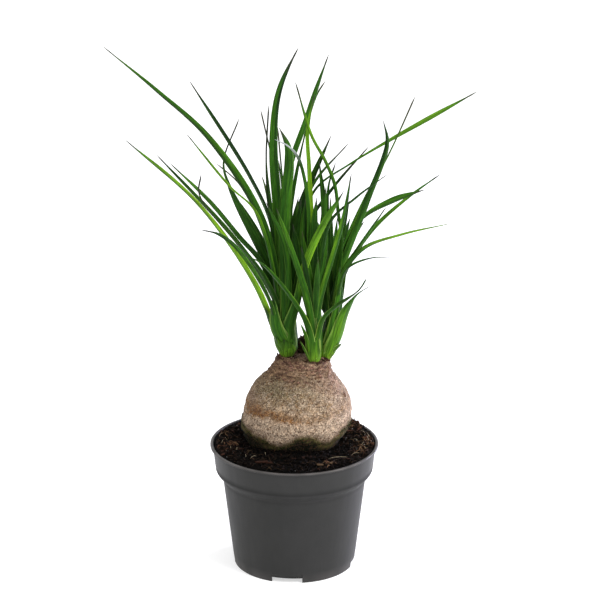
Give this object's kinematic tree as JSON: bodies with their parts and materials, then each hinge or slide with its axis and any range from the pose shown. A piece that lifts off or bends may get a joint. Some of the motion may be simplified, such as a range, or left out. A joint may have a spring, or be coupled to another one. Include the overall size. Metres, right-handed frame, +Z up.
{
  "type": "potted ponytail palm",
  "caption": "Ponytail palm with a swollen trunk base and three heads of long narrow leaves, in a dark plastic nursery pot full of soil.",
  "frame": {"origin": "middle of the pot's foot, at the level that the pot stands on", "axes": "+Z up along the pot's axis, -Y towards the viewer of the picture, +X to the viewer's right"},
  "size_m": [0.2584, 0.1927, 0.3873],
  "materials": {
    "pot": "matt",
    "soil": "rough",
    "caudex": "rough",
    "leaves": "satin"
  },
  "bodies": {
    "root": {"pot": "pot", "soil": "soil", "caudex": "caudex", "head_left": "leaves", "head_front": "leaves", "head_right": "leaves"}
  },
  "joints": []
}
